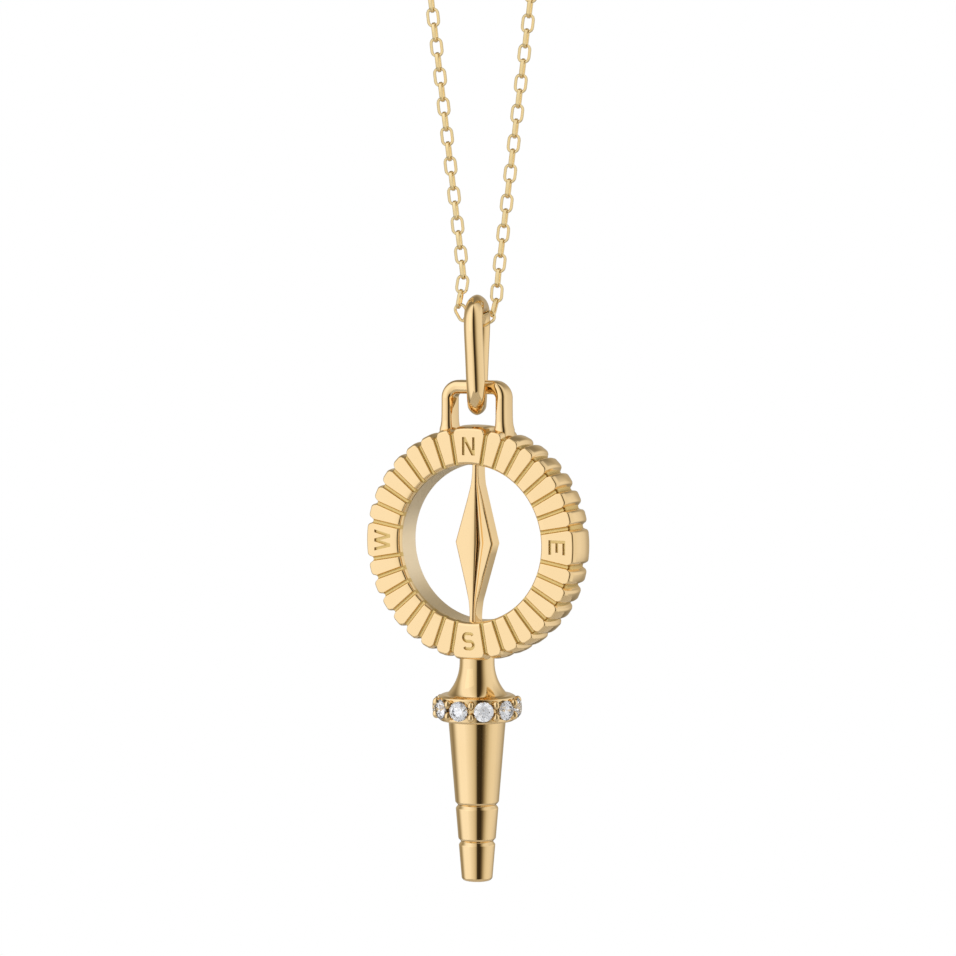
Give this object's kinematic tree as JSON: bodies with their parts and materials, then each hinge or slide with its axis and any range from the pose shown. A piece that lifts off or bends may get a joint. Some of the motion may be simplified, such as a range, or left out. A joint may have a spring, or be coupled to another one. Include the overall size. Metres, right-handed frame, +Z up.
{
  "type": "compass pendant necklace",
  "caption": "Fine cable chain necklace with an oval bail and a hanging compass-ring drop, needle, stone-set collar and tapered spike.",
  "frame": {"origin": "top inside of the chain loop, at the underside of the clasp, where the necklace hangs", "axes": "+Z up, the loop lies in the X-Z plane, the drop faces -Y turned 21 degrees about Z"},
  "size_m": [0.0472, 0.0092, 0.254],
  "materials": {
    "polished_gold": "polished",
    "gold_chain": "polished",
    "stone": "faceted and polished"
  },
  "bodies": {
    "chain": {"chain": "gold_chain", "clasp": "gold_chain"},
    "bail": {"bail": "polished_gold"},
    "pendant": {"pendant_body": "polished_gold", "stone_01": "stone", "stone_02": "stone", "stone_03": "stone", "stone_04": "stone", "stone_05": "stone", "stone_06": "stone", "stone_07": "stone", "stone_08": "stone", "stone_09": "stone", "stone_10": "stone"}
  },
  "joints": [
    {"name": "bail_swing", "type": "hinge", "parent": "chain", "child": "bail", "pos_m": [0, 0, -0.2092], "axis": [1, 0, 0], "range_deg": [-60, 60]},
    {"name": "pendant_swing", "type": "hinge", "parent": "bail", "child": "pendant", "pos_m": [0, 0, -0.213], "axis": [0.9323, -0.3616, 0], "range_deg": [-45, 45]}
  ]
}
